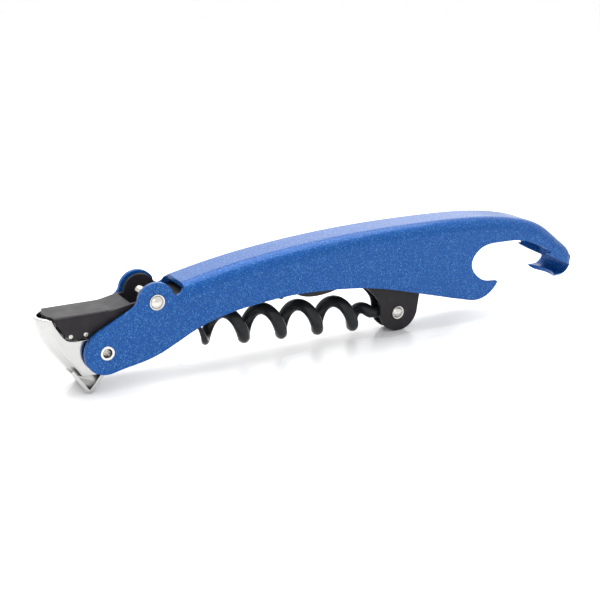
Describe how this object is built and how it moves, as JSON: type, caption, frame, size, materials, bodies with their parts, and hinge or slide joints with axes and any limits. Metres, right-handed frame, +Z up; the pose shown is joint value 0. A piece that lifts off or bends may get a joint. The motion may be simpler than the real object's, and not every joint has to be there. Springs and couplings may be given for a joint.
{
  "type": "lever corkscrew",
  "caption": "Folding lever corkscrew: an arched sheet-metal handle with a cap lifter, a hinged inner frame that carries a coiled worm and foil cutter wheels, and a hinged bottle foot.",
  "frame": {"origin": "on the table, under the middle of the overall length, in the middle plane", "axes": "+X along the handle towards the cap lifter, +Y across it, +Z up from the table on which the folded corkscrew stands"},
  "size_m": [0.1372, 0.0136, 0.0261],
  "materials": {
    "blue_paint": "fine metallic flake under gloss clearcoat",
    "black_coating": "satin",
    "worm_coating": "satin non-stick coating",
    "foot_chrome": "polished",
    "rivet_nickel": "satin nickel",
    "cutter_steel": "ground",
    "washer_nylon": "plain nylon",
    "spacer_steel": "drawn tube"
  },
  "bodies": {
    "handle": {"handle_shell": "blue_paint", "frame_rivet": "rivet_nickel", "foot_eyelet": "rivet_nickel", "frame_washer_left": "washer_nylon", "frame_washer_right": "washer_nylon", "foot_washer_left": "washer_nylon", "foot_washer_right": "washer_nylon"},
    "frame": {"inner_frame": "black_coating", "worm_rivet": "rivet_nickel", "worm_washer_left": "washer_nylon", "worm_washer_right": "washer_nylon", "cutter_pin_1": "rivet_nickel", "cutter_spacer_long_1": "spacer_steel", "cutter_spacer_short_1": "spacer_steel", "cutter_pin_2": "rivet_nickel", "cutter_spacer_long_2": "spacer_steel", "cutter_spacer_short_2": "spacer_steel", "cutter_pin_3": "rivet_nickel", "cutter_spacer_long_3": "spacer_steel", "cutter_spacer_short_3": "spacer_steel", "cutter_pin_4": "rivet_nickel", "cutter_spacer_long_4": "spacer_steel", "cutter_spacer_short_4": "spacer_steel"},
    "worm": {"worm": "worm_coating"},
    "foot": {"chrome_foot": "foot_chrome"},
    "cutter_1": {"cutter_wheel_1": "cutter_steel"},
    "cutter_2": {"cutter_wheel_2": "cutter_steel"},
    "cutter_3": {"cutter_wheel_3": "cutter_steel"},
    "cutter_4": {"cutter_wheel_4": "cutter_steel"}
  },
  "joints": [
    {"name": "frame_hinge", "type": "hinge", "parent": "handle", "child": "frame", "pos_m": [-0.04423, 0, 0.018], "axis": [0, 1, 0], "range_deg": [0, 65]},
    {"name": "worm_hinge", "type": "hinge", "parent": "frame", "child": "worm", "pos_m": [0.01798, 0, 0.0046], "axis": [0, -1, 0], "range_deg": [0, 100]},
    {"name": "foot_hinge", "type": "hinge", "parent": "handle", "child": "foot", "pos_m": [-0.05543, 0, 0.0088], "axis": [0, -1, 0], "range_deg": [0, 70]},
    {"name": "cutter_1_spin", "type": "hinge", "parent": "frame", "child": "cutter_1", "pos_m": [-0.06243, 0, 0.0131], "axis": [0, 1, 0], "continuous": true},
    {"name": "cutter_2_spin", "type": "hinge", "parent": "frame", "child": "cutter_2", "pos_m": [-0.05928, 0, 0.0131], "axis": [0, 1, 0], "continuous": true},
    {"name": "cutter_3_spin", "type": "hinge", "parent": "frame", "child": "cutter_3", "pos_m": [-0.05613, 0, 0.0131], "axis": [0, 1, 0], "continuous": true},
    {"name": "cutter_4_spin", "type": "hinge", "parent": "frame", "child": "cutter_4", "pos_m": [-0.05298, 0, 0.0131], "axis": [0, 1, 0], "continuous": true}
  ]
}
